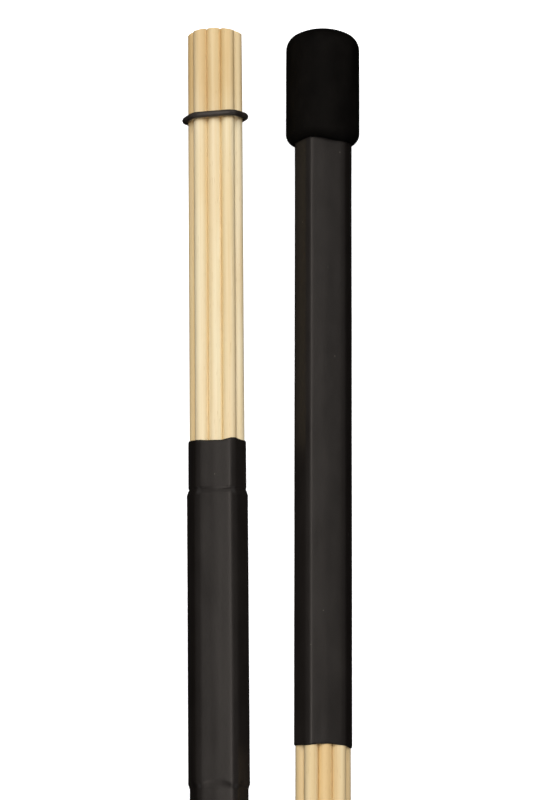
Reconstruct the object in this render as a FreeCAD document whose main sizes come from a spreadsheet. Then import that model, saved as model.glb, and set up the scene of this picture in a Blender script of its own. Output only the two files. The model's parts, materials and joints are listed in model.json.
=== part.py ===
"""A pair of bundled-dowel drum rods, lying side by side and pointing opposite ways.

Each rod is twelve thin wooden dowels packed in rows of three, four, three and two, so that
the bundle is a hexagon with three long and three short sides. From its playing tip to its
butt a rod carries a rubber tension ring, a shrunk sleeve with a binding band hidden under
it, a stretch of bare dowels, a longer shrunk sleeve as the grip, and a rubber end cap.

A rod's own frame has its origin at the centre of the playing tip. Its Z axis runs along the
rod to the butt, and its Y axis points up from the row of three. The pair's frame has +Z up
from the floor, +Y along the rods, and its origin on the floor in the middle of the pair.
"""

import FreeCAD, Part
import math
import os

import Sketcher
from FreeCAD import Placement, Rotation, Vector

SIZES = (
    ("rod_length", 406.4, "tip to butt, over the cap"),
    ("dowel_diameter", 3.5, "one wooden dowel"),
    ("dowel_gap", 0.01, "between neighbouring dowels"),
    ("dowel_end_round", 0.35, "sanded edge at both ends of a dowel"),
    ("left_roll", 5.2, "degrees that the left rod lies rolled about its axis"),
    ("right_roll", 8.4, "degrees that the right rod lies rolled about its axis"),
    ("cap_diameter", 19.1, "rubber end cap"),
    ("cap_length", 31.0, "rubber end cap, crown to lip"),
    ("cap_end_wall", 3.4, "rubber past the dowels' ends"),
    ("crown_radius", 16.0, "low dome over the cap's end"),
    ("shoulder_radius", 4.5, "between the crown and the cap's side"),
    ("lip_radius", 3.4, "rounding of the cap's open end"),
    ("lip_height", 3.1, "length of that rounding along the cap"),
    ("shrink_gap", 0.02, "between a sleeve, band or cap and what it holds"),
    ("sleeve_wall", 0.36, "shrunk sleeve"),
    ("band_wall", 0.36, "binding band under the middle sleeve"),
    ("drape_length", 1.5, "slope of the sleeve over the band's edge"),
    ("ring_station", 23.08, "tip to the tension ring"),
    ("ring_wire", 1.6, "section diameter of the tension ring"),
    ("ring_gap", 0.05, "sliding clearance of the tension ring"),
    ("ring_tilt", 3.0, "degrees that the ring sits out of square"),
    ("middle_start", 108.1, "tip to the middle sleeve"),
    ("band_start", 121.8, "tip to the binding band"),
    ("band_end", 195.0, "tip to the binding band's far edge"),
    ("middle_end", 204.0, "tip to the middle sleeve's far edge"),
    ("grip_start", 220.6, "tip to the grip sleeve"),
    ("rod_spacing", 25.92, "between the rods' axes at mid-length"),
    ("rod_lean", 0.307, "degrees that each rod turns away from the pair's Y axis"),
    ("rod_stagger", 0.55, "that one rod lies further along than the other"),
)

# Row heights of the bundle in dowel pitches, from the middle of the inner three dowels.
ROW_STEP = math.sqrt(3.0) / 2.0
TOP_ROW = 2.0 / math.sqrt(3.0)
ROWS = tuple((count, TOP_ROW - place * ROW_STEP) for place, count in enumerate((3, 4, 3, 2)))

# The hull's corner dowels on the +X side: ends of the rows of three, four and two.
RIGHT_CORNERS = ((1.0, ROWS[0][1]), (1.5, ROWS[1][1]), (0.5, ROWS[3][1]))

PITCH = "(Sizes.dowel_diameter + Sizes.dowel_gap)"
DOWEL_LENGTH = "(Sizes.rod_length - Sizes.cap_end_wall)"
HULL = "Sizes.dowel_diameter / 2"
UNDER_SLEEVE = HULL + " + Sizes.shrink_gap"
OVER_SLEEVE = UNDER_SLEEVE + " + Sizes.sleeve_wall"
OVER_BAND = UNDER_SLEEVE + " + Sizes.band_wall"
UNDER_BULGE = OVER_BAND + " + Sizes.shrink_gap"
OVER_BULGE = UNDER_BULGE + " + Sizes.sleeve_wall"
IN_CAP = OVER_SLEEVE + " + Sizes.shrink_gap"
RING_LINE = HULL + " + Sizes.ring_gap + Sizes.ring_wire / 2"

doc = FreeCAD.newDocument("drum_rods")
sheet = doc.addObject("Spreadsheet::Sheet", "Sizes")


def fill_sheet():
    """Write each size with its name and meaning, one to a row."""
    for place, (alias, value, meaning) in enumerate(SIZES, start=1):
        sheet.set(f"A{place}", alias)
        sheet.set(f"B{place}", str(value))
        sheet.set(f"C{place}", meaning)
        sheet.setAlias(f"B{place}", alias)
    doc.recompute()


def size(alias):
    """The number in the sheet under this name."""
    return float(sheet.get(alias))


# ---- helpers ---------------------------------------------------------------


def origin_plane(body, role):
    """One of the body's own origin planes."""
    return next(item for item in body.Origin.OriginFeatures if item.Role == role)


def new_body(label):
    """An empty body for one piece."""
    body = doc.addObject("PartDesign::Body", label)
    body.Label = label
    return body


def new_sketch(body, name, role="XY_Plane", station=None):
    """A sketch on an origin plane, moved out along its normal by the station expression."""
    sketch = body.newObject("Sketcher::SketchObject", f"{body.Name}_{name}")
    sketch.AttachmentSupport = (origin_plane(body, role), [""])
    sketch.MapMode = "FlatFace"
    if station:
        sketch.setExpression("AttachmentOffset.Base.z", station)
    return sketch


def bind(sketch, constraint, expression):
    """Add a sized constraint and bind it to an expression on the sheet."""
    index = sketch.addConstraint(constraint)
    sketch.setExpression(f"Constraints[{index}]", expression)


def new_feature(body, kind, name, profile):
    """A PartDesign feature on a profile sketch."""
    feature = body.newObject(f"PartDesign::{kind}", f"{body.Name}_{name}")
    feature.Profile = profile
    profile.Visibility = False
    return feature


def hull_corners():
    """Centres of the six corner dowels, anticlockwise from the top right one."""
    pitch = size("dowel_diameter") + size("dowel_gap")
    right = [Vector(x * pitch, y * pitch, 0) for x, y in RIGHT_CORNERS]
    left = [Vector(-point.x, point.y, 0) for point in right]
    return [right[0], left[0], left[1], left[2], right[2], right[1]]


def add_hull_loop(sketch, radius):
    """Add the bundle's outline: an arc of this radius round each corner dowel, and tangents."""
    corners = hull_corners()
    sketch_radius = size("dowel_diameter")
    count = len(corners)
    sides = []
    for place, corner in enumerate(corners):
        along = (corners[(place + 1) % count] - corner).normalize()
        sides.append(Vector(along.y, -along.x, 0))
    first = sketch.GeometryCount
    for place, outward in enumerate(sides):
        start = corners[place] + outward * sketch_radius
        turn = (place + 1) % count
        end = corners[turn] + outward * sketch_radius
        circle = Part.Circle(corners[turn], Vector(0, 0, 1), sketch_radius)
        after = sides[turn]
        from_angle = math.atan2(outward.y, outward.x)
        to_angle = math.atan2(after.y, after.x)
        sketch.addGeometry(Part.LineSegment(start, end), False)
        sketch.addGeometry(Part.ArcOfCircle(circle, from_angle, to_angle), False)
    lines = [first + 2 * place for place in range(count)]
    arcs = [line + 1 for line in lines]
    for place in range(count):
        following = lines[(place + 1) % count]
        sketch.addConstraint(Sketcher.Constraint("Tangent", lines[place], 2, arcs[place], 1))
        sketch.addConstraint(Sketcher.Constraint("Tangent", arcs[place], 2, following, 1))
    # Arc 0 turns round the top left corner, so arcs 5, 4 and 3 are the right side's.
    pairs = ((0, 5), (1, 4), (2, 3))
    for (left, right), (x, y) in zip(pairs, RIGHT_CORNERS):
        centre = arcs[right]
        sketch.addConstraint(Sketcher.Constraint("Symmetric", arcs[left], 3, centre, 3, -2))
        bind(sketch, Sketcher.Constraint("DistanceX", -1, 1, centre, 3, x), f"{x} * {PITCH}")
        span = ("DistanceY", -1, 1, centre, 3) if y > 0 else ("DistanceY", centre, 3, -1, 1)
        bind(sketch, Sketcher.Constraint(*span, abs(y)), f"{abs(y)} * {PITCH}")
    for arc in arcs[1:]:
        sketch.addConstraint(Sketcher.Constraint("Equal", arcs[0], arc))
    bind(sketch, Sketcher.Constraint("Radius", arcs[0], sketch_radius), radius)


# ---- the pieces of one rod, each in the rod's own frame --------------------


def make_dowel(label):
    """A round dowel standing on the tip plane, with both end edges sanded round."""
    body = new_body(label)
    sketch = new_sketch(body, "section")
    radius = size("dowel_diameter") / 2
    sketch.addGeometry(Part.Circle(Vector(0, 0, 0), Vector(0, 0, 1), radius), False)
    sketch.addConstraint(Sketcher.Constraint("Coincident", 0, 3, -1, 1))
    bind(sketch, Sketcher.Constraint("Diameter", 0, 2 * radius), "Sizes.dowel_diameter")
    pad = new_feature(body, "Pad", "stem", sketch)
    pad.setExpression("Length", DOWEL_LENGTH)
    doc.recompute()
    rims = [
        f"Edge{place}"
        for place, edge in enumerate(pad.Shape.Edges, start=1)
        if isinstance(edge.Curve, Part.Circle)
    ]
    ends = body.newObject("PartDesign::Fillet", f"{label}_ends")
    ends.Base = (pad, rims)
    ends.setExpression("Radius", "Sizes.dowel_end_round")
    pad.Visibility = False
    return body


def make_tube(label, inner, outer, start, end):
    """A tube that fits the bundle's outline, from one station to another."""
    body = new_body(label)
    sketch = new_sketch(body, "section", station=start)
    add_hull_loop(sketch, outer)
    add_hull_loop(sketch, inner)
    pad = new_feature(body, "Pad", "wall", sketch)
    pad.setExpression("Length", f"{end} - {start}")
    return body


def make_middle_sleeve(label):
    """A sleeve that lies on the dowels at both ends and drapes over the band between."""
    body = new_body(label)
    stations = (
        ("Sizes.middle_start", False),
        ("Sizes.band_start - Sizes.drape_length", False),
        ("Sizes.band_start - Sizes.shrink_gap", True),
        ("Sizes.band_end + Sizes.shrink_gap", True),
        ("Sizes.band_end + Sizes.drape_length", False),
        ("Sizes.middle_end", False),
    )
    skins = (
        ("AdditiveLoft", "outside", OVER_SLEEVE, OVER_BULGE),
        ("SubtractiveLoft", "inside", UNDER_SLEEVE, UNDER_BULGE),
    )
    for kind, name, flat, bulge in skins:
        sections = []
        for place, (station, over_band) in enumerate(stations):
            sketch = new_sketch(body, f"{name}_{place}", station=station)
            add_hull_loop(sketch, bulge if over_band else flat)
            sketch.Visibility = False
            sections.append(sketch)
        doc.recompute()
        loft = new_feature(body, kind, name, sections[0])
        loft.Sections = sections[1:]
        loft.Ruled = True
        doc.recompute()
    return body


def make_tension_ring(label):
    """A rubber ring that hugs the bundle. Its own frame has its origin at its middle."""
    body = new_body(label)
    route = new_sketch(body, "route")
    add_hull_loop(route, RING_LINE)
    section = new_sketch(body, "section", role="YZ_Plane")
    wire = size("ring_wire")
    height = hull_corners()[0].y + size("dowel_diameter") / 2 + size("ring_gap") + wire / 2
    section.addGeometry(Part.Circle(Vector(height, 0, 0), Vector(0, 0, 1), wire / 2), False)
    section.addConstraint(Sketcher.Constraint("PointOnObject", 0, 3, -1))
    bind(section, Sketcher.Constraint("Diameter", 0, wire), "Sizes.ring_wire")
    top_line = f"{TOP_ROW} * {PITCH} + {RING_LINE}"
    bind(section, Sketcher.Constraint("DistanceX", -1, 1, 0, 3, height), top_line)
    doc.recompute()
    pipe = new_feature(body, "AdditivePipe", "wire", section)
    pipe.Spine = (route, [])
    return body


def make_end_cap(label):
    """A turned rubber cap with a low crown and a rounded lip, hollow to fit the grip sleeve."""
    body = new_body(label)
    sketch = new_sketch(body, "profile", role="YZ_Plane")
    radius = size("cap_diameter") / 2
    butt = size("rod_length")
    lip = butt - size("cap_length")
    lip_top = lip + size("lip_height")
    lip_round = size("lip_radius")
    shoulder = size("shoulder_radius")
    crown = size("crown_radius")
    dome = crown - math.sqrt((crown - shoulder) ** 2 - (radius - shoulder) ** 2)
    lip_centre = Vector(radius - lip_round, lip_top, 0)
    lip_inner = lip_centre.x + math.sqrt(lip_round**2 - size("lip_height") ** 2)
    shoulder_centre = Vector(radius - shoulder, butt - dome, 0)
    crown_centre = Vector(0, butt - crown, 0)
    lean = math.atan2(shoulder_centre.y - crown_centre.y, shoulder_centre.x)
    up = Vector(0, 0, 1)
    lip_angle = math.atan2(lip - lip_centre.y, lip_inner - lip_centre.x)
    right_angle = math.pi / 2

    sketch.addGeometry(Part.LineSegment(Vector(0, lip, 0), Vector(lip_inner, lip, 0)), False)
    sketch.addGeometry(Part.ArcOfCircle(Part.Circle(lip_centre, up, lip_round), lip_angle, 0), False)
    side = Part.LineSegment(Vector(radius, lip_top, 0), Vector(radius, shoulder_centre.y, 0))
    sketch.addGeometry(side, False)
    sketch.addGeometry(Part.ArcOfCircle(Part.Circle(shoulder_centre, up, shoulder), 0, lean), False)
    crown_arc = Part.ArcOfCircle(Part.Circle(crown_centre, up, crown), lean, right_angle)
    sketch.addGeometry(crown_arc, False)
    sketch.addGeometry(Part.LineSegment(Vector(0, butt, 0), Vector(0, lip, 0)), False)

    for name, first, first_end, second, second_end in (
        ("Coincident", 0, 2, 1, 1),
        ("Tangent", 1, 2, 2, 1),
        ("Tangent", 2, 2, 3, 1),
        ("Tangent", 3, 2, 4, 1),
        ("Coincident", 4, 2, 5, 1),
        ("Coincident", 5, 2, 0, 1),
    ):
        sketch.addConstraint(Sketcher.Constraint(name, first, first_end, second, second_end))
    sketch.addConstraint(Sketcher.Constraint("Horizontal", 0))
    sketch.addConstraint(Sketcher.Constraint("Vertical", 2))
    sketch.addConstraint(Sketcher.Constraint("PointOnObject", 5, 1, -2))
    sketch.addConstraint(Sketcher.Constraint("PointOnObject", 5, 2, -2))
    sketch.addConstraint(Sketcher.Constraint("PointOnObject", 4, 3, -2))
    bind(sketch, Sketcher.Constraint("Radius", 1, lip_round), "Sizes.lip_radius")
    bind(sketch, Sketcher.Constraint("Radius", 3, shoulder), "Sizes.shoulder_radius")
    bind(sketch, Sketcher.Constraint("Radius", 4, crown), "Sizes.crown_radius")
    bind(sketch, Sketcher.Constraint("DistanceX", -1, 1, 2, 1, radius), "Sizes.cap_diameter / 2")
    bind(sketch, Sketcher.Constraint("DistanceY", 0, 1, 1, 2, lip_top - lip), "Sizes.lip_height")
    bind(sketch, Sketcher.Constraint("DistanceY", 5, 2, 5, 1, butt - lip), "Sizes.cap_length")
    bind(sketch, Sketcher.Constraint("DistanceY", -1, 1, 5, 1, butt), "Sizes.rod_length")
    turned = new_feature(body, "Revolution", "turned", sketch)
    turned.ReferenceAxis = (sketch, ["V_Axis"])
    turned.Angle = 360.0
    doc.recompute()
    solid = body.Shape.Volume

    hollow = new_sketch(body, "hollow", station=DOWEL_LENGTH)
    add_hull_loop(hollow, IN_CAP)
    pocket = new_feature(body, "Pocket", "socket", hollow)
    pocket.setExpression("Length", "Sizes.cap_length")
    doc.recompute()
    if not body.Shape.Volume < solid:
        raise RuntimeError("the cap's socket cuts nothing")
    return body


# ---- how a rod lies --------------------------------------------------------


def rod_placement(side, lean):
    """A rod on the -X side, tip towards +Y, resting on its ring and on its cap."""
    roll = math.radians(size(f"{side}_roll"))
    x, y = RIGHT_CORNERS[2]
    pitch = size("dowel_diameter") + size("dowel_gap")
    lowest_centre = pitch * (x * math.sin(roll) - y * math.cos(roll))
    ring_reach = lowest_centre + size("dowel_diameter") / 2 + size("ring_gap") + size("ring_wire")
    cap_radius = size("cap_diameter") / 2
    cap_station = size("rod_length") - size("cap_length") + size("lip_height")
    run = cap_station - size("ring_station")
    slope = math.atan((cap_radius - ring_reach) / run)
    middle = size("rod_length") / 2
    middle_height = ring_reach + (middle - size("ring_station")) * math.tan(slope)
    turn = Rotation(Vector(0, 0, 1), lean) * Rotation(Vector(1, 0, 0), 90 - math.degrees(slope))
    centre = Vector(-size("rod_spacing") / 2, -size("rod_stagger") / 2, middle_height)
    return Placement(centre - turn.multVec(Vector(0, 0, middle)), turn)


def build_rod(side, rod):
    """Make every piece of one rod and put it in its place."""
    roll = Placement(Vector(0, 0, 0), Rotation(Vector(0, 0, 1), size(f"{side}_roll")))
    rolled = rod * roll
    pitch = size("dowel_diameter") + size("dowel_gap")
    bodies = []
    number = 0
    for count, height in ROWS:
        for place in range(count):
            number += 1
            dowel = make_dowel(f"{side}_dowel_{number:02d}")
            across = place - (count - 1) / 2
            spot = Vector(across * pitch, height * pitch, 0)
            dowel.Placement = rolled * Placement(spot, Rotation())
            bodies.append(dowel)
    wraps = [
        make_middle_sleeve(f"{side}_mid_sleeve"),
        make_tube(
            f"{side}_mid_band", UNDER_SLEEVE, OVER_BAND, "Sizes.band_start", "Sizes.band_end"
        ),
        make_tube(
            f"{side}_grip_sleeve", UNDER_SLEEVE, OVER_SLEEVE, "Sizes.grip_start", DOWEL_LENGTH
        ),
        make_end_cap(f"{side}_end_cap"),
    ]
    for wrap in wraps:
        wrap.Placement = rolled
    ring = make_tension_ring(f"{side}_tension_ring")
    station = Placement(Vector(0, 0, size("ring_station")), Rotation())
    tilt = Placement(Vector(0, 0, 0), Rotation(Vector(0, 1, 0), size("ring_tilt")))
    ring.Placement = rod * station * tilt * roll
    return bodies + wraps + [ring]


def centre_on_floor(bodies):
    """Move the pair so that its box stands on the origin."""
    box = Part.makeCompound([body.Shape for body in bodies]).optimalBoundingBox(False)
    shift = Placement(Vector(-box.Center.x, -box.Center.y, -box.ZMin), Rotation())
    for body in bodies:
        body.Placement = shift * body.Placement


def check_document(bodies):
    """Stop if a feature failed or a piece is not one valid solid."""
    for item in doc.Objects:
        if {"Invalid", "Error"} & set(item.State):
            raise RuntimeError(f"{item.Name} failed: {item.State}")
    for body in bodies:
        shape = body.Shape
        if shape.isNull() or not shape.isValid() or len(shape.Solids) != 1:
            raise RuntimeError(f"{body.Label} is not one valid solid")


fill_sheet()
half_turn = Placement(Vector(0, 0, 0), Rotation(Vector(0, 0, 1), 180))
left_rod = build_rod("left", rod_placement("left", size("rod_lean")))
right_rod = build_rod("right", half_turn * rod_placement("right", -size("rod_lean")))
pieces = left_rod + right_rod
doc.recompute()
centre_on_floor(pieces)
doc.recompute()
check_document(pieces)

os.makedirs("parts", exist_ok=True)
for piece in pieces:
    piece.Shape.exportStep(f"parts/{piece.Label}.step")

whole = Part.makeCompound([piece.Shape for piece in pieces]).optimalBoundingBox(False)
print(f"{len(pieces)} pieces")
print(f"x {whole.XMin:.3f} to {whole.XMax:.3f}")
print(f"y {whole.YMin:.3f} to {whole.YMax:.3f}")
print(f"z {whole.ZMin:.3f} to {whole.ZMax:.3f}")
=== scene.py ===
"""Looks of a pair of bundled-dowel drum rods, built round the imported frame.

Every visible piece of the CAD model is replaced by a finer mesh in the same place: dowels
with sanded ends and real grain, sleeves drawn tight over the dowels and draped over a band,
turned rubber caps and rubber rings. The hidden bands keep their CAD shape.

A rod's own frame has its origin at the centre of the playing tip, Z along the rod to the
butt and Y up from the row of three dowels. All lengths are in metres.
"""

import json
import math

import bmesh
import bpy
from mathutils import Matrix, Vector, noise


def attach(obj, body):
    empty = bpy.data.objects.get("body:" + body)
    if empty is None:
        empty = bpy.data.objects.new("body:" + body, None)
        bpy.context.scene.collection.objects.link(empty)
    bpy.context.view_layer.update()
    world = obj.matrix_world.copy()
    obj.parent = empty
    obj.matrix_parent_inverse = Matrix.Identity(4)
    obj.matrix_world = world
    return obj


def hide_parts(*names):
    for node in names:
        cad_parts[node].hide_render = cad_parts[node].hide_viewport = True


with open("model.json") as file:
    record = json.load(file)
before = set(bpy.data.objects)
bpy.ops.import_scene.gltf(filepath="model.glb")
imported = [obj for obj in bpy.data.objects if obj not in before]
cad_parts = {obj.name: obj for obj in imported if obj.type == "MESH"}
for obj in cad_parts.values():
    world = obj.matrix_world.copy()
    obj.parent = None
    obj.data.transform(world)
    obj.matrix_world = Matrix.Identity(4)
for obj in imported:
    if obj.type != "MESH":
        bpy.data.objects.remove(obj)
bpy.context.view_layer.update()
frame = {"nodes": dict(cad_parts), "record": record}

MM = 0.001

# ---- sizes -----------------------------------------------------------------

SHRINK_GAP = 0.02 * MM  # between a sleeve and the dowels or band under it
SLEEVE_WALL = 0.36 * MM
BAND_WALL = 0.36 * MM
SLEEVE_SAG = 0.012 * MM  # how far a sleeve sinks between two dowels
SLEEVE_BULGE = {"left": 2.4, "right": 3.4}  # degrees that a bulging flat turns at its ends
SLEEVE_RIPPLE = 0.012 * MM
SLEEVE_SWELL = 0.02 * MM  # unevenness that is slower than the ripple
SLEEVE_END_ROUND = 0.6 * MM  # length of the rounding at a cut end
EDGE_RAGGED = 0.12 * MM  # how ragged a cut end is
EDGE_FADE = 5 * MM  # how fast a cut end's shape dies away along the sleeve

DRAPE_LENGTH = 1.5 * MM  # slope of the middle sleeve over the band's edge
DRAPE_JOG = 0.12 * MM  # how far that slope wanders along the rod as it goes round
CREASE_DEPTH = 0.15 * MM  # pinched in at the foot of the slope
CREASE_WIDTH = 0.26 * MM
RIM_HEIGHT = 0.03 * MM  # raised by each edge of the band
RIM_WIDTH = 0.5 * MM
RIM_INSET = 0.4 * MM
DETAIL_STEP = 0.12 * MM  # between stations near the band's edges
DETAIL_STEPS = 28  # of those on each side of an edge

# The dowels are numbered row by row, from the row of three on top down to the row of two.
DOWEL_COUNT = 12
INNER_DOWELS = (5, 6, 9)
CORNER_DOWELS = (3, 1, 4, 11, 12, 7)  # in order round the bundle
DOWEL_END_ROUND = 0.25 * MM
DOWEL_SIDES = 40
DOWEL_DRIFT = 0.04 * MM  # how far a dowel wanders from a straight line
DOWEL_UNEVEN = 0.006  # share of its radius
SAWN_HOLLOW = 0.03 * MM  # in the middle of a dowel's tip
DOWEL_POINT = 0.01 * MM  # radius of the face that closes a dowel's tip
GROOVE_START = 0.15 * MM  # depth where the groove between two dowels begins
GROOVE_DEPTH = 1.1 * MM  # from there to where it counts as fully inside

CAP_END_WALL = 3.4 * MM
CAP_FIT = 0.03 * MM  # between the cap's socket and the sleeve
CAP_UNEVEN = 0.04 * MM
LIP_RADIUS = 3.4 * MM
LIP_HEIGHT = 3.1 * MM
LIP_PUSH_START = 1.5 * MM  # how far up the cap's side the push on its lip reaches
LIP_PUSH_LENGTH = 4.5 * MM
CROWN_RADIUS = 16.0 * MM
SHOULDER_RADIUS = 4.5 * MM

RING_WIRE = 1.6 * MM
RING_GAP = 0.05 * MM
RING_WAVE = 0.05 * MM  # how far the ring wanders along the rod
RING_FLASH = 0.02 * MM  # mould line round the ring's outside
RING_PRESSED = 0.078 * MM  # how much the ring is flattened on its outside
RING_SHADOW_REACH = 1.7 * MM  # how far the ring's painted shadow reaches along the dowels
RING_SHADOW_FRONT = 0.9 * MM  # how softly that painted shadow begins under the ring
SHADOW_STEP = 0.3 * MM  # between a dowel's stations near the painted shadow

# The playing tip is sanded to a low dome, which starts this far from the rod's centre, falls
# away with the square of the distance past that, and is gone this far along the dowels.
TIP_DOME_START = 5.0 * MM
TIP_DOME_RISE = 0.14 / MM
TIP_DOME_REACH = 6.5 * MM

# How far each dowel stops short of its CAD end at the playing tip. A minus reaches past it.
TIP_STEPS = [
    step * MM for step in (-0.12, -0.12, -0.12, 0.0, 0.05, 0.1, 0.0, 0.1, 0.2, 0.05, 0.15, 0.1)
]

# How orange each dowel's wood is, by its number: 0 is pale, and 1 or more is the full tint.
WARMTH = {
    "left": (0.3, 0.2, 0.45, 1.2, 0.4, 0.2, 0.1, 0.5, 0.8, 0.1, 0.3, 0.6),
    "right": (0.1, 0.9, 0.25, 0.15, 0.3, 0.6, 0.4, 0.2, 0.1, 0.7, 0.5, 0.2),
}

# How much darker each rod's wood is all along, from 0 to 1, and the stretch at the
# playing tip where it is darker in full, with the length over which that fades.
ROD_DARKENING = {"left": 0.0, "right": 0.85}
DARK_TIP_LENGTH = 19 * MM
DARK_TIP_FADE = 7 * MM

# Cut edges of the sleeves: (angle round the rod, spread of the angle, shift along the rod).
# Angles are in degrees from the rod's own X axis, and a minus shift is towards the tip.
MIDDLE_TIP_EDGE = (
    (8, 24, -0.42 * MM),
    (49, 19, -0.6 * MM),
    (158, 28, -0.38 * MM),
    (275, 40, 0.25 * MM),
)
MIDDLE_BUTT_EDGE = ((60, 40, 0.35 * MM), (150, 30, -0.25 * MM), (250, 45, 0.4 * MM))
GRIP_TIP_EDGE = (
    (8, 25, -0.2 * MM),
    (48, 16, -0.28 * MM),
    (88, 26, 0.16 * MM),
    (128, 16, -0.25 * MM),
    (163, 22, -0.8 * MM),
    (280, 40, -0.35 * MM),
)

# Where the cap's lip is pushed back, in the same form.
LIP_EDGE = ((62, 38, 0.95 * MM), (190, 40, 0.25 * MM), (300, 35, 0.5 * MM))


# ---- a rod's frame, read from its CAD nodes ---------------------------------


class Rod:
    """One rod's own frame and the places of its twelve dowels."""

    def __init__(self, side):
        self.side = side
        self.body = f"{side}_rod"
        mount = next(m for m in frame["record"]["mounts"] if m["name"] == f"{side}_cap_grip")
        along = Vector(mount["axis"]).normalized()
        middles = {}
        for number in range(1, DOWEL_COUNT + 1):
            points = self.points(f"dowel_{number:02d}")
            middles[number] = sum(points, Vector()) / len(points)
        inner = [middles[number] for number in INNER_DOWELS]
        core = sum(inner, Vector()) / len(inner)
        up = middles[2] - core
        up = (up - along * up.dot(along)).normalized()
        tip = min(point.dot(along) for point in self.points("dowel_02"))
        origin = core + along * (tip - core.dot(along))
        axes = Matrix((up.cross(along), up, along)).transposed().to_4x4()
        self.to_row = Matrix.Translation(origin) @ axes
        self.to_rod = self.to_row.inverted()
        self.dowels = {number: (self.to_rod @ spot).xy for number, spot in middles.items()}
        self.pitch = (self.dowels[2] - self.dowels[1]).length
        reach = [(self.to_rod @ point).xy - self.dowels[2] for point in self.points("dowel_02")]
        self.dowel_radius = max(spot.length for spot in reach)
        self.corners = [self.dowels[number] for number in CORNER_DOWELS]
        ring = [self.to_rod @ point for point in self.points("tension_ring")]
        self.ring_at = sum(point.z for point in ring) / len(ring)
        spread_out = sum(point.x * point.x for point in ring)
        self.ring_slope = sum(point.x * (point.z - self.ring_at) for point in ring) / spread_out

    def points(self, piece):
        """The vertices of one of this rod's CAD nodes, in the row frame."""
        node = frame["nodes"][f"{self.side}_{piece}"]
        return [vertex.co.copy() for vertex in node.data.vertices]

    def span(self, piece):
        """Where along the rod a CAD node starts and ends."""
        along = [(self.to_rod @ point).z for point in self.points(piece)]
        return min(along), max(along)


class Spot:
    """A point on the bundle's outline, with the way out from it."""

    def __init__(self, point, out, slack, crown):
        self.point = point
        self.out = out
        self.slack = slack
        self.crown = crown
        self.angle = math.degrees(math.atan2(point.y, point.x))


def outline(rod, bulge, per_pitch=8, per_corner=11):
    """Spots round the hull of the bundle.

    Every flat is a shallow arc that turns by the bulge, in degrees, at each of its ends.
    Slack is 0 on a dowel and 1 midway between two. Crown is 0 at a corner dowel and 1 in
    the middle of a flat.
    """
    spots = []
    count = len(rod.corners)
    bulge = math.radians(bulge)
    alongs = []
    for place, corner in enumerate(rod.corners):
        alongs.append((rod.corners[(place + 1) % count] - corner).normalized())
    outs = [Vector((along.y, -along.x)) for along in alongs]
    for place, corner in enumerate(rod.corners):
        first = math.atan2(outs[place - 1].y, outs[place - 1].x)
        turn = outs[place - 1].angle_signed(outs[place])
        ease = math.copysign(bulge, turn)
        for step in range(per_corner + 1):
            angle = first - ease - (turn - 2 * ease) * step / per_corner
            out = Vector((math.cos(angle), math.sin(angle)))
            spots.append(Spot(corner + out * rod.dowel_radius, out, 0.0, 0.0))
        side = rod.corners[(place + 1) % count] - corner
        reach = side.length / 2 / math.sin(bulge)
        centre = corner + side / 2 - outs[place] * reach * math.cos(bulge)
        steps = round(side.length / rod.pitch) * per_pitch
        for step in range(1, steps):
            share = 2.0 * step / steps - 1.0
            out = outs[place] * math.cos(bulge * share) + alongs[place] * math.sin(bulge * share)
            slack = math.sin(math.pi * step / per_pitch) ** 2
            crown = 1.0 - share * share
            spots.append(Spot(centre + out * (reach + rod.dowel_radius), out, slack, crown))
    return spots


# ---- mesh helpers -----------------------------------------------------------


def add_piece(name, rod, rings, joined, material, attributes=None, sharp=40):
    """A closed mesh through rings of points given in the rod's frame.

    joined ties the last ring to the first, and otherwise each end is closed by a face.
    attributes maps a name to one value, or one vector, for every point of every ring.
    """
    size = len(rings[0])
    points = [rod.to_row @ point for ring in rings for point in ring]
    faces = []
    last = len(rings) if joined else len(rings) - 1
    for row in range(last):
        here = row * size
        there = (row + 1) % len(rings) * size
        for step in range(size):
            after = (step + 1) % size
            faces.append((here + step, here + after, there + after, there + step))
    if not joined:
        faces.append(tuple(range(size - 1, -1, -1)))
        end = (len(rings) - 1) * size
        faces.append(tuple(range(end, end + size)))
    mesh = bpy.data.meshes.new(name)
    mesh.from_pydata(points, [], faces)
    for key, values in (attributes or {}).items():
        if isinstance(values[0], float):
            mesh.attributes.new(key, "FLOAT", "POINT").data.foreach_set("value", values)
        else:
            flat = [number for value in values for number in value]
            mesh.attributes.new(key, "FLOAT_VECTOR", "POINT").data.foreach_set("vector", flat)
    work = bmesh.new()
    work.from_mesh(mesh)
    bmesh.ops.recalc_face_normals(work, faces=work.faces)
    work.to_mesh(mesh)
    work.free()
    mesh.materials.append(material)
    mesh.shade_smooth()
    mesh.set_sharp_from_angle(angle=math.radians(sharp))
    piece = bpy.data.objects.new(name, mesh)
    bpy.context.scene.collection.objects.link(piece)
    return piece


def settle(piece, body, node):
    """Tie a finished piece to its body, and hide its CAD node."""
    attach(piece, body)
    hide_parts(node)


def smooth_step(value):
    """0 below 0, 1 above 1, and a smooth rise between."""
    value = min(max(value, 0.0), 1.0)
    return value * value * (3.0 - 2.0 * value)


def bell(angle, centre, spread):
    """1 at the centre angle, falling away on both sides. All in degrees."""
    away = (angle - centre + 180.0) % 360.0 - 180.0
    return math.exp(-((away / spread) ** 2))


def wander(*place):
    """Smooth noise from -1 to 1 at up to three coordinates."""
    return noise.noise(Vector(place + (0.0,) * (3 - len(place))))


# ---- material helpers -------------------------------------------------------


def new_material(name, sockets):
    """A material, its node tree and its shader, with these plain socket values."""
    material = bpy.data.materials.new(name)
    material.use_nodes = True
    tree = material.node_tree
    shader = tree.nodes["Principled BSDF"]
    for socket, value in sockets.items():
        shader.inputs[socket].default_value = value
    return material, tree, shader


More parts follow.
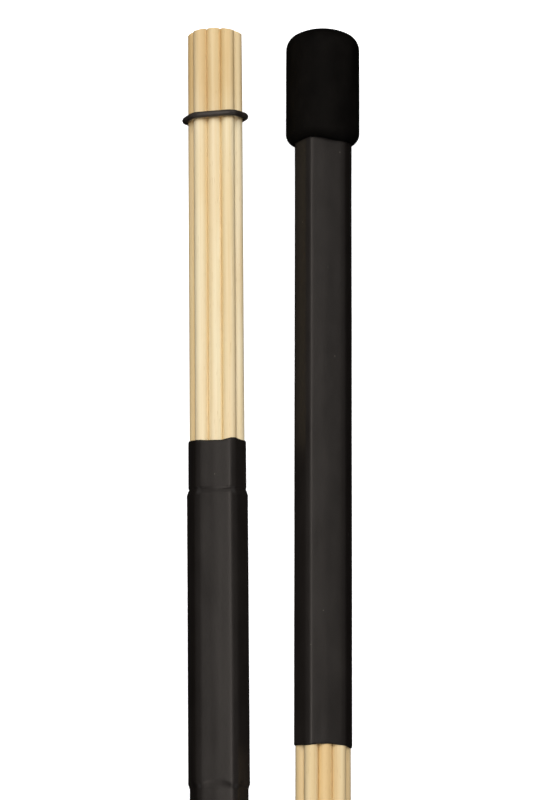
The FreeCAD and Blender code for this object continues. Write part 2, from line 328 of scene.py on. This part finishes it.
def add_node(tree, kind, inputs=None, **settings):
    """A shader node. An input may be a value or another node's output."""
    node = tree.nodes.new("ShaderNode" + kind)
    for key, value in settings.items():
        setattr(node, key, value)
    for key, value in (inputs or {}).items():
        if isinstance(value, bpy.types.NodeSocket):
            tree.links.new(value, node.inputs[key])
        else:
            node.inputs[key].default_value = value
    return node


def grain_noise(tree, vector, scale, detail=3.0, roughness=0.55):
    """Noise from 0 to 1, with the coordinates scaled apart along each axis."""
    scaled = add_node(tree, "Mapping", {"Vector": vector, "Scale": scale}).outputs["Vector"]
    settings = {"Vector": scaled, "Scale": 1.0, "Detail": detail, "Roughness": roughness}
    return add_node(tree, "TexNoise", settings).outputs[0]


def spread(tree, value, low, high, to_low=0.0, to_high=1.0):
    """Map a value from one range to another, held inside it."""
    inputs = {"Value": value, "From Min": low, "From Max": high}
    inputs.update({"To Min": to_low, "To Max": to_high})
    return add_node(tree, "MapRange", inputs).outputs["Result"]


def blend_color(tree, factor, first, second, mode="MIX"):
    """Mix two colours."""
    inputs = {0: factor, 6: first, 7: second}
    return add_node(tree, "Mix", inputs, data_type="RGBA", blend_type=mode).outputs[2]


def times(tree, first, second):
    """Multiply two numbers."""
    return add_node(tree, "Math", {0: first, 1: second}, operation="MULTIPLY").outputs[0]


def plus(tree, first, second):
    """Add two numbers."""
    return add_node(tree, "Math", {0: first, 1: second}, operation="ADD").outputs[0]


def dust(tree, vector, per_metre, share, size):
    """1 on a few small specks of lint, 0 elsewhere."""
    cells = {"Vector": vector, "Scale": per_metre, "Randomness": 1.0}
    voronoi = add_node(tree, "TexVoronoi", cells)
    speck = spread(tree, voronoi.outputs["Distance"], size, size * 0.4)
    chance = add_node(tree, "SeparateColor", {"Color": voronoi.outputs["Color"]}).outputs[0]
    chosen = spread(tree, chance, 1.0 - share, 1.0 - share + 0.001)
    return times(tree, speck, chosen)


def add_bump(tree, shader, height, strength, distance):
    """Raise the surface by a height from 0 to 1."""
    inputs = {"Strength": strength, "Distance": distance, "Height": height}
    bump = add_node(tree, "Bump", inputs)
    tree.links.new(bump.outputs["Normal"], shader.inputs["Normal"])


# ---- materials --------------------------------------------------------------


def make_wood():
    """Pale birch: long fibres, faint growth lines, fine flecks, grooves painted lighter against the
    shade in them, and a painted shadow behind the ring.
    """
    plain = {"IOR": 1.45, "Specular IOR Level": 0.5}
    material, tree, shader = new_material("birch_dowel", plain)
    grain = add_node(tree, "Attribute", attribute_name="grain").outputs["Vector"]
    tone = add_node(tree, "Attribute", attribute_name="tone").outputs["Fac"]
    warmth = add_node(tree, "Attribute", attribute_name="warmth").outputs["Fac"]
    groove = add_node(tree, "Attribute", attribute_name="groove").outputs["Fac"]
    darkening = add_node(tree, "Attribute", attribute_name="darkening").outputs["Fac"]
    end = add_node(tree, "Attribute", attribute_name="end").outputs["Fac"]
    ring_shadow = add_node(tree, "Attribute", attribute_name="ring_shadow").outputs["Fac"]

    fibres = grain_noise(tree, grain, (1900.0, 1900.0, 26.0), detail=5.0, roughness=0.6)
    streaks = grain_noise(tree, grain, (620.0, 620.0, 7.0), detail=3.0)
    clouds = grain_noise(tree, grain, (160.0, 160.0, 22.0), detail=2.0)
    flecks = grain_noise(tree, grain, (4200.0, 4200.0, 330.0), detail=1.0)
    scaled = add_node(tree, "Mapping", {"Vector": grain, "Scale": (330.0, 330.0, 5.0)})
    waves = {"Vector": scaled.outputs["Vector"], "Scale": 1.0, "Distortion": 3.5}
    waves.update({"Detail": 2.0, "Detail Scale": 0.7})
    growth = add_node(tree, "TexWave", waves, wave_profile="SIN").outputs["Fac"]

    pale = (0.695, 0.617, 0.427, 1.0)
    deep = (0.625, 0.503, 0.298, 1.0)
    color = blend_color(tree, spread(tree, streaks, 0.35, 0.68), pale, deep)
    cream = grain_noise(tree, grain, (480.0, 480.0, 24.0), detail=2.0)
    creamy = spread(tree, cream, 0.52, 0.7, 0.0, 0.5)
    color = blend_color(tree, creamy, color, (0.775, 0.705, 0.535, 1.0))
    orange = blend_color(tree, 1.0, color, (0.955, 0.85, 0.675, 1.0), "MULTIPLY")
    color = blend_color(tree, warmth, color, orange)
    fine = spread(tree, fibres, 0.3, 0.72, 0.0, 0.16)
    color = blend_color(tree, fine, color, (0.46, 0.30, 0.14, 1.0))
    lines = times(tree, spread(tree, growth, 0.62, 0.98, 0.0, 0.22), tone)
    color = blend_color(tree, lines, color, (0.50, 0.32, 0.15, 1.0))
    flecked = spread(tree, flecks, 0.67, 0.76, 0.0, 0.38)
    color = blend_color(tree, flecked, color, (0.34, 0.20, 0.09, 1.0))
    clouded = spread(tree, clouds, 0.4, 0.66, 0.0, 0.3)
    color = blend_color(tree, clouded, color, (0.60, 0.43, 0.24, 1.0))
    # Painted shadow: the wood just behind the ring is darkened brown where the ring's shadow falls at
    # rest.
    ring_shadowed = blend_color(tree, 1.0, color, (0.86, 0.70, 0.52, 1.0), "MULTIPLY")
    color = blend_color(tree, times(tree, ring_shadow, 0.6), color, ring_shadowed)
    # Painted light: the grooves between the dowels are lightened to lift the shade that falls in them.
    painted_groove_light = blend_color(tree, 1.0, color, (1.24, 1.26, 1.23, 1.0), "MULTIPLY")
    color = blend_color(tree, groove, color, painted_groove_light)
    darker_wood = blend_color(tree, 1.0, color, (0.87, 0.79, 0.66, 1.0), "MULTIPLY")
    color = blend_color(tree, darkening, color, darker_wood)
    sawn = blend_color(tree, 1.0, color, (0.86, 0.76, 0.62, 1.0), "MULTIPLY")
    color = blend_color(tree, spread(tree, end, 0.45, 0.95), color, sawn)
    tree.links.new(color, shader.inputs["Base Color"])
    rough = spread(tree, fibres, 0.2, 0.8, 0.44, 0.62)
    tree.links.new(rough, shader.inputs["Roughness"])
    relief = plus(tree, times(tree, fibres, 0.6), times(tree, flecks, -0.4))
    add_bump(tree, shader, relief, 0.35, 0.05 * MM)
    return material


def make_sleeve():
    """Black shrink tube: satin, faintly pebbled, with dull handling marks and a few specks."""
    plain = {"IOR": 1.46, "Specular IOR Level": 0.42}
    material, tree, shader = new_material("shrunk_tube", plain)
    place = add_node(tree, "TexCoord").outputs["Object"]
    edge = add_node(tree, "Attribute", attribute_name="edge").outputs["Fac"]
    pebble = grain_noise(tree, place, (1500.0, 1100.0, 1500.0), detail=4.0)
    drawn = grain_noise(tree, place, (420.0, 24.0, 420.0), detail=3.0)
    marks = grain_noise(tree, place, (130.0, 60.0, 130.0), detail=5.0, roughness=0.65)
    specks = dust(tree, place, 620.0, 0.02, 0.10)
    dark = (0.0085, 0.0068, 0.0059, 1.0)
    light = (0.0118, 0.0096, 0.0083, 1.0)
    color = blend_color(tree, spread(tree, marks, 0.35, 0.7), dark, light)
    color = blend_color(tree, times(tree, edge, 0.5), color, (0.05, 0.043, 0.038, 1.0))
    color = blend_color(tree, specks, color, (0.10, 0.09, 0.075, 1.0))
    tree.links.new(color, shader.inputs["Base Color"])
    dulled = spread(tree, marks, 0.3, 0.75, 0.32, 0.40)
    rough = plus(tree, dulled, spread(tree, drawn, 0.3, 0.7, -0.02, 0.03))
    tree.links.new(plus(tree, rough, times(tree, specks, 0.4)), shader.inputs["Roughness"])
    relief = plus(tree, times(tree, pebble, 0.35), times(tree, drawn, 0.5))
    add_bump(tree, shader, plus(tree, relief, times(tree, specks, 0.8)), 0.3, 0.05 * MM)
    return material


def make_cap_rubber():
    """Dense black rubber with a fine mould texture, smudges and specks of dust."""
    plain = {"IOR": 1.5, "Specular IOR Level": 0.09}
    material, tree, shader = new_material("cap_rubber_black", plain)
    place = add_node(tree, "TexCoord").outputs["Object"]
    texture = grain_noise(tree, place, (2600.0, 2600.0, 2600.0), detail=3.0)
    smudge = grain_noise(tree, place, (170.0, 110.0, 170.0), detail=5.0, roughness=0.6)
    specks = dust(tree, place, 430.0, 0.06, 0.10)
    dark = (0.0014, 0.0011, 0.0009, 1.0)
    light = (0.0032, 0.0026, 0.0021, 1.0)
    color = blend_color(tree, spread(tree, smudge, 0.4, 0.72), dark, light)
    color = blend_color(tree, specks, color, (0.05, 0.045, 0.038, 1.0))
    tree.links.new(color, shader.inputs["Base Color"])
    tree.links.new(spread(tree, smudge, 0.3, 0.75, 0.6, 0.76), shader.inputs["Roughness"])
    relief = plus(tree, times(tree, texture, 0.5), times(tree, smudge, 0.5))
    add_bump(tree, shader, plus(tree, relief, specks), 0.35, 0.05 * MM)
    return material


def make_ring_rubber():
    """Brown-black rubber, smoother than the cap, with a bloom that dulls it in patches."""
    plain = {"IOR": 1.5, "Specular IOR Level": 0.6}
    material, tree, shader = new_material("ring_rubber_dark", plain)
    place = add_node(tree, "TexCoord").outputs["Object"]
    bloom = grain_noise(tree, place, (380.0, 380.0, 380.0), detail=4.0)
    fine = grain_noise(tree, place, (3200.0, 3200.0, 3200.0), detail=2.0)
    dark = (0.017, 0.013, 0.011, 1.0)
    light = (0.034, 0.027, 0.023, 1.0)
    color = blend_color(tree, spread(tree, bloom, 0.35, 0.7), dark, light)
    tree.links.new(color, shader.inputs["Base Color"])
    tree.links.new(spread(tree, bloom, 0.3, 0.7, 0.34, 0.5), shader.inputs["Roughness"])
    add_bump(tree, shader, plus(tree, fine, bloom), 0.25, 0.03 * MM)
    return material


def make_band_wrap():
    """Dull black tape, wound round the dowels in close turns."""
    material, tree, shader = new_material("band_wrap", {"IOR": 1.45})
    place = add_node(tree, "TexCoord").outputs["Object"]
    turns = add_node(tree, "TexWave", {"Vector": place, "Scale": 26.0}, bands_direction="Y")
    fuzz = grain_noise(tree, place, (1400.0, 1400.0, 1400.0))
    color = blend_color(tree, fuzz, (0.018, 0.018, 0.018, 1.0), (0.035, 0.034, 0.032, 1.0))
    tree.links.new(color, shader.inputs["Base Color"])
    tree.links.new(spread(tree, fuzz, 0.3, 0.7, 0.7, 0.85), shader.inputs["Roughness"])
    add_bump(tree, shader, turns.outputs["Fac"], 0.4, 0.08 * MM)
    return material


# ---- pieces -----------------------------------------------------------------


def dowel_profile(rod, start, end):
    """Stations along a dowel: (place, share of its full radius, 1 on a sawn end to 0)."""
    radius = rod.dowel_radius
    profile = [(start + SAWN_HOLLOW, 0.0, 1.0), (start, 0.45, 1.0)]
    arc_steps = 5
    for step in range(arc_steps + 1):
        angle = math.pi / 2 * step / arc_steps
        inset = DOWEL_END_ROUND * (1 - math.sin(angle))
        along = start + DOWEL_END_ROUND * (1 - math.cos(angle))
        profile.append((along, 1 - inset / radius, 1.0 - step / arc_steps))
    marks_at = [rod.ring_at + step * SHADOW_STEP for step in range(-5, 13)]
    length = end - start - 2 * DOWEL_END_ROUND
    runs = 56
    marks_at += [start + DOWEL_END_ROUND + length * step / runs for step in range(1, runs)]
    for along in sorted(marks_at):
        profile.append((along, 1.0, 0.0))
    for step in range(arc_steps + 1):
        angle = math.pi / 2 * step / arc_steps
        inset = DOWEL_END_ROUND * (1 - math.cos(angle))
        along = end - DOWEL_END_ROUND * (1 - math.sin(angle))
        profile.append((along, 1 - inset / radius, step / arc_steps))
    return profile


def make_dowel(rod, number, material):
    """A dowel with both ends sanded round, the marks its wood carries, and the ring's painted shadow.

    Its seed picks the piece of wood that it is cut from and the side that it shows.
    """
    start, end = rod.span(f"dowel_{number:02d}")
    start += TIP_STEPS[number - 1]
    centre = rod.dowels[number]
    radius = rod.dowel_radius
    seed = number + (20 if rod.side == "right" else 0)
    turn = 2.4 * seed
    tone = 0.35 + 0.65 * abs(wander(seed * 3.7, 1.3))
    warmth = WARMTH[rod.side][number - 1]
    rings = []
    marks = {"grain": [], "tone": [], "warmth": [], "groove": [], "darkening": [], "end": [], "ring_shadow": []}
    for along, share, sawn in dowel_profile(rod, start, end):
        ring = []
        drift = Vector((wander(seed, along * 14), wander(seed + 40, along * 14))) * DOWEL_DRIFT
        dark_tip = 1 - smooth_step((along - DARK_TIP_LENGTH) / DARK_TIP_FADE)
        marked = max(ROD_DARKENING[rod.side], dark_tip) + 0.3 * wander(seed, along * 40, 3.0)
        for step in range(DOWEL_SIDES):
            angle = math.tau * step / DOWEL_SIDES
            out = Vector((math.cos(angle), math.sin(angle)))
            uneven = 1 + DOWEL_UNEVEN * wander(out.x * 1.5, out.y * 1.5 + seed, along * 30)
            flat = centre + drift + out * max(radius * share * uneven, DOWEL_POINT)
            depth = groove_depth(rod, flat)
            ring.append(Vector((flat.x, flat.y, along + tip_dome(flat.length, along - start))))
            local = Vector((math.cos(angle + turn), math.sin(angle + turn))) * radius * share
            grain = (local.x + 0.031 * seed, local.y + 0.017 * seed, along + 0.37 * seed)
            marks["grain"].append(grain)
            marks["tone"].append(tone)
            marks["warmth"].append(warmth + 0.35 * wander(seed * 1.7, along * 55))
            marks["groove"].append(depth)
            marks["darkening"].append(marked)
            marks["end"].append(sawn)
            # Painted shadow of the ring on the wood just behind it.
            marks["ring_shadow"].append(painted_ring_shadow(rod, flat, along, depth))
        rings.append(ring)
    piece = add_piece(f"dowel_{rod.side}_{number:02d}", rod, rings, False, material, marks)
    settle(piece, rod.body, f"{rod.side}_dowel_{number:02d}")


def tip_dome(away, inset):
    """How far sanding the tip to a dome shortens a dowel, this far from the rod's centre."""
    rise = TIP_DOME_RISE * max(away - TIP_DOME_START, 0.0) ** 2
    return rise * (1.0 - smooth_step(inset / TIP_DOME_REACH))


def painted_ring_shadow(rod, point, along, depth):
    """How much of the ring's painted shadow falls on a dowel just behind it. It reaches further in a
    groove, where the shadow falls deeper.
    """
    inset = along - rod.ring_at - rod.ring_slope * point.x - 0.45 * RING_WIRE
    if inset < 0.0:
        return smooth_step(1.0 + inset / RING_SHADOW_FRONT)
    return 1.0 - smooth_step(inset / (RING_SHADOW_REACH * (0.55 + 0.6 * depth)))


def groove_depth(rod, point):
    """How deep a point lies between the dowels: 0 at the bundle's outside, 1 well inside."""
    reach = -1.0
    count = len(rod.corners)
    for place, corner in enumerate(rod.corners):
        along = (rod.corners[(place + 1) % count] - corner).normalized()
        out = Vector((along.y, -along.x))
        reach = max(reach, (point - corner).dot(out) - rod.dowel_radius)
    inside = min(max(-reach, 0.0), rod.dowel_radius)
    corner_reach = min((point - corner).length for corner in rod.corners)
    if corner_reach < rod.dowel_radius * 1.05:
        inside *= 0.8
    return smooth_step((inside - GROOVE_START) / GROOVE_DEPTH)


def edge_shift(angle, bells, seed):
    """How far a cut edge runs out of square at this angle round the rod."""
    shift = sum(size * bell(angle, centre, width) for centre, width, size in bells)
    turn = math.radians(angle)
    ragged = wander(math.cos(turn) * 2.2, math.sin(turn) * 2.2, seed)
    return shift + ragged * EDGE_RAGGED


def station_list(start, end, details):
    """Stations along a sleeve, close together near its ends and near each detail."""
    coarse = 3.0 * MM
    closest = 0.01 * MM
    count = math.ceil((end - start) / coarse)
    marks = [start + (end - start) * step / count for step in range(count + 1)]
    for share in (0.02, 0.08, 0.18, 0.32, 0.5, 0.72, 1.0, 1.8, 3.0):
        marks += [start + share * SLEEVE_END_ROUND, end - share * SLEEVE_END_ROUND]
    for detail in details:
        marks += [detail + step * DETAIL_STEP for step in range(-DETAIL_STEPS, DETAIL_STEPS + 1)]
    marks.sort()
    kept = [marks[0]]
    for mark in marks[1:]:
        if mark - kept[-1] > closest:
            kept.append(mark)
    kept[-1] = end
    return kept


def band_lift(spot, along, band):
    """How far the sleeve is lifted over the band.

    A crease runs along the foot of the band's near edge, and a rim along both edges. They
    fade out towards the middle of each flat.
    """
    if band is None:
        return 0.0
    start, end = band
    jog = DRAPE_JOG * wander(spot.out.x * 1.7, spot.out.y * 1.7, start * 90)
    slope = DRAPE_LENGTH * 1.15
    far_slope = slope + DRAPE_LENGTH * 0.9 * spot.crown
    foot = start - DRAPE_LENGTH + jog
    far_foot = end + DRAPE_LENGTH + jog
    lifted = min(smooth_step((along - foot) / slope), smooth_step((far_foot - along) / far_slope))
    sharp = 1.0 - spot.crown * spot.crown
    crease = CREASE_DEPTH * math.exp(-(((along - foot - 0.1 * MM) / CREASE_WIDTH) ** 2))
    rim = RIM_HEIGHT * math.exp(-(((along - start - RIM_INSET) / RIM_WIDTH) ** 2))
    rim += RIM_HEIGHT * math.exp(-(((along - end + RIM_INSET) / RIM_WIDTH) ** 2))
    return (BAND_WALL + SHRINK_GAP) * lifted + (rim - crease) * sharp


def end_rounding(inset):
    """How much of the wall is rounded away this far from a cut end, from 1 to 0."""
    share = 1.0 - min(inset / SLEEVE_END_ROUND, 1.0)
    return 1.0 - math.sqrt(1.0 - share * share)


def make_sleeve_piece(rod, piece_name, edges, band, material):
    """A thin tube drawn tight over the dowels, with uneven cut edges."""
    start, end = rod.span(piece_name)
    spots = outline(rod, SLEEVE_BULGE[rod.side])
    details = band or ()
    seed = 3.0 if rod.side == "left" else 8.0
    skins = []
    for wall in (SLEEVE_WALL, 0.0):
        rings = []
        for along in station_list(start, end, details):
            ring = []
            for spot in spots:
                near_start = math.exp(-(along - start) / EDGE_FADE)
                near_end = math.exp(-(end - along) / EDGE_FADE)
                shift = edge_shift(spot.angle, edges[0], seed) * near_start
                shift += edge_shift(spot.angle, edges[1], seed + 5) * near_end
                lift = band_lift(spot, along, band)
                relax = -SLEEVE_SAG * spot.slack
                across = spot.point
                ripple = SLEEVE_RIPPLE * wander(across.x * 500, across.y * 500, along * 70 + seed)
                swell = SLEEVE_SWELL * wander(across.x * 160, across.y * 160, along * 24 + seed)
                cut = end_rounding(along - start) + end_rounding(end - along)
                offset = SHRINK_GAP + wall * (1.0 - 0.75 * cut) + lift + relax + ripple + swell
                flat = spot.point + spot.out * offset
                ring.append(Vector((flat.x, flat.y, along + shift)))
            rings.append(ring)
        skins.append(rings)
    outer, inner = skins
    rings = outer + inner[::-1]
    outer_count = len(outer)
    edge_marks = []
    for row in range(len(rings)):
        marked = 1.0 if row in (0, outer_count - 1, outer_count, len(rings) - 1) else 0.0
        edge_marks += [marked] * len(spots)
    name = f"{piece_name}_{rod.side}"
    piece = add_piece(name, rod, rings, True, material, {"edge": edge_marks})
    settle(piece, rod.body, f"{rod.side}_{piece_name}")


def lip_push(angle):
    """How far the cap's lip is pushed towards the butt at this angle round the rod."""
    return sum(size * bell(angle, centre, width) for centre, width, size in LIP_EDGE)


def make_cap(rod, material):
    """A turned rubber cap: low crown, straight side, rounded lip and a fitted socket."""
    lip, butt = rod.span("end_cap")
    spots = outline(rod, SLEEVE_BULGE[rod.side])
    reach = [(rod.to_rod @ point).xy.length for point in rod.points("end_cap")]
    radius = max(reach)
    inner_crown = CROWN_RADIUS - SHOULDER_RADIUS
    dome = CROWN_RADIUS - math.sqrt(inner_crown**2 - (radius - SHOULDER_RADIUS) ** 2)
    lean = math.atan2(CROWN_RADIUS - dome, radius - SHOULDER_RADIUS)
    profile = []
    crown_steps = 14
    first_step = 0.12  # leaves a small round face in the middle of the crown
    for step in range(crown_steps):
        angle = math.pi / 2 - (math.pi / 2 - lean) * (step + first_step) / crown_steps
        height = butt - CROWN_RADIUS * (1 - math.sin(angle))
        profile.append((CROWN_RADIUS * math.cos(angle), height))
    shoulder_steps = 12
    for step in range(shoulder_steps + 1):
        angle = lean * (1 - step / shoulder_steps)
        across = radius - SHOULDER_RADIUS * (1 - math.cos(angle))
        profile.append((across, butt - dome + SHOULDER_RADIUS * math.sin(angle)))
    side_top = butt - dome
    side_end = lip + LIP_HEIGHT
    side_steps = 14
    for step in range(1, side_steps):
        profile.append((radius, side_top + (side_end - side_top) * step / side_steps))
    lip_steps = 10
    last_angle = math.asin(LIP_HEIGHT / LIP_RADIUS)
    for step in range(lip_steps + 1):
        angle = last_angle * step / lip_steps
        across = radius - LIP_RADIUS * (1 - math.cos(angle))
        profile.append((across, side_end - LIP_RADIUS * math.sin(angle)))
    rings = []
    seed = 2.0 if rod.side == "left" else 11.0
    for across, along in profile:
        ring = []
        for spot in spots:
            turn = math.radians(spot.angle)
            out = Vector((math.cos(turn), math.sin(turn)))
            uneven = CAP_UNEVEN * (wander(out.x * 1.4, out.y * 1.4 + seed, along * 70) - 1.0)
            near_lip = smooth_step((side_end + LIP_PUSH_START - along) / LIP_PUSH_LENGTH)
            pushed = lip_push(spot.angle) * near_lip
            ring.append(Vector((out.x * (across + uneven), out.y * (across + uneven), along + pushed)))
        rings.append(ring)
    fit = SHRINK_GAP + SLEEVE_WALL + CAP_FIT
    floor = butt - CAP_END_WALL
    socket = ((0.35 * MM, 0.0), (0.06 * MM, 0.25 * MM), (0.0, 0.8 * MM))
    for ease, depth in socket:
        ring = []
        for spot in spots:
            flat = spot.point + spot.out * (fit + ease)
            ring.append(Vector((flat.x, flat.y, lip + depth + lip_push(spot.angle))))
        rings.append(ring)
    rings.append([Vector((point.x, point.y, floor)) for point in rings[-1]])
    piece = add_piece(f"end_cap_{rod.side}", rod, rings, False, material)
    settle(piece, rod.body, f"{rod.side}_end_cap")


def make_ring(rod, material):
    """A rubber ring stretched round the bundle, a little flattened inside and outside."""
    spots = outline(rod, bulge=0.5, per_pitch=5, per_corner=8)
    away = RING_GAP + RING_WIRE / 2
    path = []
    for spot in spots:
        flat = spot.point + spot.out * away
        wave = RING_WAVE * wander(spot.out.x * 1.6, spot.out.y * 1.6, 4.0)
        path.append(Vector((flat.x, flat.y, rod.ring_at + rod.ring_slope * flat.x + wave)))
    sides = 24
    rings = []
    for middle, spot in zip(path, spots):
        out = Vector((spot.out.x, spot.out.y, 0))
        ring = []
        for step in range(sides):
            angle = math.tau * step / sides
            across = math.cos(angle)
            lengthways = math.sin(angle)
            thick = RING_WIRE / 2
            if across < -0.8:
                thick *= 0.97
            flash = RING_FLASH * bell(math.degrees(angle), 0.0, 9.0)
            pressed = RING_PRESSED * max(across, 0.0)
            size = thick + flash - pressed
            ring.append(middle + out * across * size + Vector((0, 0, lengthways * size)))
        rings.append(ring)
    piece = add_piece(f"tension_ring_{rod.side}", rod, rings, True, material, sharp=60)
    settle(piece, f"{rod.side}_ring", f"{rod.side}_tension_ring")


def build_pair():
    """Every visible piece of both rods."""
    wood = make_wood()
    tube = make_sleeve()
    cap_rubber = make_cap_rubber()
    ring_rubber = make_ring_rubber()
    wrap = make_band_wrap()
    for side in ("left", "right"):
        rod = Rod(side)
        for number in sorted(rod.dowels):
            make_dowel(rod, number, wood)
        band = rod.span("mid_band")
        make_sleeve_piece(rod, "mid_sleeve", (MIDDLE_TIP_EDGE, MIDDLE_BUTT_EDGE), band, tube)
        make_sleeve_piece(rod, "grip_sleeve", (GRIP_TIP_EDGE, ()), None, tube)
        make_cap(rod, cap_rubber)
        make_ring(rod, ring_rubber)
        band_node = frame["nodes"][f"{side}_mid_band"]
        band_node.data.materials.clear()
        band_node.data.materials.append(wrap)


# ---- the studio -------------------------------------------------------------


def add_floor():
    """A wide, plain, white floor that the rods don't mirror and that casts no light on them."""
    bpy.ops.mesh.primitive_circle_add(vertices=96, radius=12.0, fill_type="NGON")
    floor = bpy.context.object
    floor.name = "studio_floor"
    white = {"Base Color": (0.9, 0.9, 0.9, 1.0), "Roughness": 0.9, "Specular IOR Level": 0.0}
    white.update({"Emission Color": (1.0, 1.0, 1.0, 1.0), "Emission Strength": 0.6})
    material, _, _ = new_material("floor_white", white)
    floor.data.materials.append(material)
    floor.visible_glossy = False
    floor.visible_diffuse = False


def add_sun(name, strength, angle, lean, heading, glossy=True, diffuse=True):
    """A distant round softbox, leaning from overhead towards a heading turned from +X."""
    light = bpy.data.lights.new(name, "SUN")
    light.energy = strength
    light.angle = math.radians(angle)
    lamp = bpy.data.objects.new(name, light)
    lamp.rotation_euler = (0, math.radians(lean), math.radians(heading))
    lamp.visible_glossy = glossy
    lamp.visible_diffuse = diffuse
    bpy.context.scene.collection.objects.link(lamp)


def add_strip():
    """A narrow warm softbox along Y, over the middle of the pair, for the gloss on the ridges."""
    light = bpy.data.lights.new("strip", "AREA")
    light.shape = "RECTANGLE"
    light.size = 0.06
    light.size_y = 2.3
    light.energy = 7.2
    light.color = (1.0, 0.9, 0.82)
    lamp = bpy.data.objects.new("strip", light)
    lamp.location = (0.0, 0.25, 1.3)
    lamp.visible_camera = False
    lamp.visible_diffuse = False
    bpy.context.scene.collection.objects.link(lamp)


def add_lights():
    """Soft light from above, faint glosses all round, a strip of gloss over the rods, a dim room."""
    add_sun("soft_overhead", 3.7, 66.0, 20.0, 90.0, glossy=False)
    add_sun("wide_gloss", 0.1, 80.0, 9.5, 72.0)
    for heading in (0, 90, 180, 270):
        add_sun(f"side_gloss_{heading}", 0.05, 50.0, 72.0, heading, diffuse=False)
    for heading in (45, 135, 225, 315):
        add_sun(f"corner_gloss_{heading}", 0.22, 40.0, 64.0, heading, diffuse=False)
    add_strip()
    world = bpy.data.worlds.new("room")
    bpy.context.scene.world = world
    world.use_nodes = True
    world.node_tree.nodes["Background"].inputs["Color"].default_value = (1.0, 1.0, 1.0, 1.0)
    world.node_tree.nodes["Background"].inputs["Strength"].default_value = 0.28
    world.cycles_visibility.glossy = False


def add_camera():
    """A long lens nearly overhead, aimed at the far half of the rods, with plain colours."""
    bpy.context.scene.view_settings.view_transform = "Standard"
    tilt = math.radians(9.0)
    roll = math.radians(-0.154)
    distance = 0.872
    aim = Vector((-1.08 * MM, 106.0 * MM, 8.9 * MM))
    turn = Matrix.Rotation(tilt, 4, "X") @ Matrix.Rotation(roll, 4, "Z")
    camera = bpy.data.objects.new("camera", bpy.data.cameras.new("camera"))
    camera.data.sensor_width = 36.0
    camera.data.lens = 153.0
    camera.data.clip_start = 0.01
    camera.matrix_world = Matrix.Translation(aim) @ turn @ Matrix.Translation((0, 0, distance))
    bpy.context.scene.collection.objects.link(camera)
    bpy.context.scene.camera = camera


def plain(bounds):
    """A box as plain lists of numbers."""
    return [[float(number) for number in corner] for corner in bounds]


add_camera()
build_pair()
add_floor()
add_lights()
